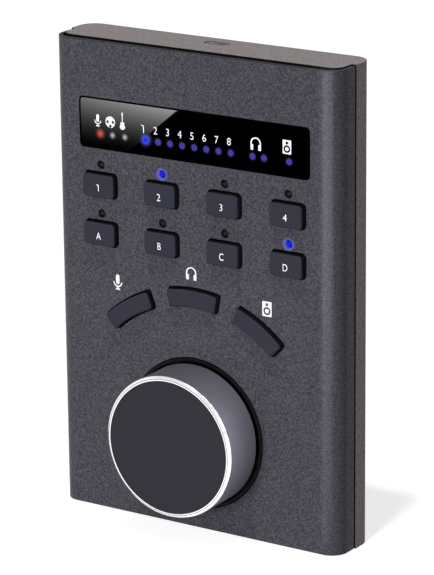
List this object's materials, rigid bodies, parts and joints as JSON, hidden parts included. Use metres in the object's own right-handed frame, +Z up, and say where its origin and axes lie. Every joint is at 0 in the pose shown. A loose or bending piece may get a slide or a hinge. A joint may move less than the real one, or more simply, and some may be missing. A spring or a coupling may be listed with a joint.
{
  "type": "audio interface controller",
  "caption": "Slim upright desk remote for an audio interface: large knob that turns and presses, marked keys, curved keys round the knob, lit window and USB inlet.",
  "frame": {"origin": "middle of the footprint of the whole object, knob and feet included, at the bottom end that it stands on", "axes": "+X to the right seen from the front, +Y from the front to the rear, +Z up along the case's length"},
  "size_m": [0.098, 0.0358, 0.1454],
  "materials": {
    "cover": "dark blue-grey powder coat, fine speckle",
    "chassis": "warm grey powder coat",
    "lens": "glossy black",
    "key_rubber": "soft matt",
    "knob": "anodised dark, bright cut edge",
    "black_plastic": "matt",
    "clear_plastic": "clear moulded",
    "red_lamp": "lit",
    "blue_lamp": "lit",
    "board": "solder mask",
    "steel": "plated",
    "brass": "plated",
    "rubber": "matt"
  },
  "bodies": {
    "root": {"front_cover": "cover", "rear_chassis": "chassis", "case_screw_1": "steel", "case_screw_2": "steel", "case_screw_3": "steel", "case_screw_4": "steel", "board_screw_1": "steel", "board_screw_2": "steel", "board_screw_3": "steel", "board_screw_4": "steel", "rubber_foot_1": "rubber", "rubber_foot_2": "rubber", "rubber_foot_3": "rubber", "rubber_foot_4": "rubber", "display_window": "lens", "display_light_block": "black_plastic", "knob_well": "black_plastic", "encoder_housing": "black_plastic", "controller_chip": "black_plastic", "light_driver_chip": "black_plastic", "usb_tongue": "black_plastic", "switch_1": "black_plastic", "switch_2": "black_plastic", "switch_3": "black_plastic", "switch_4": "black_plastic", "switch_a": "black_plastic", "switch_b": "black_plastic", "switch_c": "black_plastic", "switch_d": "black_plastic", "switch_microphone": "black_plastic", "switch_headphone": "black_plastic", "switch_speaker": "black_plastic", "input_lights": "red_lamp", "meter_lights": "blue_lamp", "output_lights": "blue_lamp", "upper_key_lights": "blue_lamp", "lower_key_lights": "blue_lamp", "upper_light_pipes": "clear_plastic", "lower_light_pipes": "clear_plastic", "main_board": "board", "usb_shell": "steel", "encoder_nut": "brass", "encoder_bushing": "brass"},
    "key_1_body": {"key_1": "key_rubber"},
    "key_2_body": {"key_2": "key_rubber"},
    "key_3_body": {"key_3": "key_rubber"},
    "key_4_body": {"key_4": "key_rubber"},
    "key_a_body": {"key_a": "key_rubber"},
    "key_b_body": {"key_b": "key_rubber"},
    "key_c_body": {"key_c": "key_rubber"},
    "key_d_body": {"key_d": "key_rubber"},
    "key_microphone_body": {"key_microphone": "key_rubber"},
    "key_headphone_body": {"key_headphone": "key_rubber"},
    "key_speaker_body": {"key_speaker": "key_rubber"},
    "knob_press_body": {"encoder_push_plate": "black_plastic"},
    "knob_body": {"encoder_shaft": "steel", "knob_shell": "knob", "knob_insert": "black_plastic"}
  },
  "joints": [
    {"name": "key_1_press", "type": "slide", "parent": "root", "child": "key_1_body", "axis": [0, 1, 0], "range_m": [0, 0.0004], "stiffness_N_per_m": 400, "springref_m": -0.001},
    {"name": "key_2_press", "type": "slide", "parent": "root", "child": "key_2_body", "axis": [0, 1, 0], "range_m": [0, 0.0004], "stiffness_N_per_m": 400, "springref_m": -0.001},
    {"name": "key_3_press", "type": "slide", "parent": "root", "child": "key_3_body", "axis": [0, 1, 0], "range_m": [0, 0.0004], "stiffness_N_per_m": 400, "springref_m": -0.001},
    {"name": "key_4_press", "type": "slide", "parent": "root", "child": "key_4_body", "axis": [0, 1, 0], "range_m": [0, 0.0004], "stiffness_N_per_m": 400, "springref_m": -0.001},
    {"name": "key_a_press", "type": "slide", "parent": "root", "child": "key_a_body", "axis": [0, 1, 0], "range_m": [0, 0.0004], "stiffness_N_per_m": 400, "springref_m": -0.001},
    {"name": "key_b_press", "type": "slide", "parent": "root", "child": "key_b_body", "axis": [0, 1, 0], "range_m": [0, 0.0004], "stiffness_N_per_m": 400, "springref_m": -0.001},
    {"name": "key_c_press", "type": "slide", "parent": "root", "child": "key_c_body", "axis": [0, 1, 0], "range_m": [0, 0.0004], "stiffness_N_per_m": 400, "springref_m": -0.001},
    {"name": "key_d_press", "type": "slide", "parent": "root", "child": "key_d_body", "axis": [0, 1, 0], "range_m": [0, 0.0004], "stiffness_N_per_m": 400, "springref_m": -0.001},
    {"name": "key_microphone_press", "type": "slide", "parent": "root", "child": "key_microphone_body", "axis": [0, 1, 0], "range_m": [0, 0.0004], "stiffness_N_per_m": 400, "springref_m": -0.001},
    {"name": "key_headphone_press", "type": "slide", "parent": "root", "child": "key_headphone_body", "axis": [0, 1, 0], "range_m": [0, 0.0004], "stiffness_N_per_m": 400, "springref_m": -0.001},
    {"name": "key_speaker_press", "type": "slide", "parent": "root", "child": "key_speaker_body", "axis": [0, 1, 0], "range_m": [0, 0.0004], "stiffness_N_per_m": 400, "springref_m": -0.001},
    {"name": "knob_press", "type": "slide", "parent": "root", "child": "knob_press_body", "axis": [0, 1, 0], "range_m": [0, 0.0005], "stiffness_N_per_m": 800, "springref_m": -0.002},
    {"name": "knob_turn", "type": "hinge", "parent": "knob_press_body", "child": "knob_body", "pos_m": [0, 0, 0.0301], "axis": [0, 1, 0], "continuous": true}
  ]
}
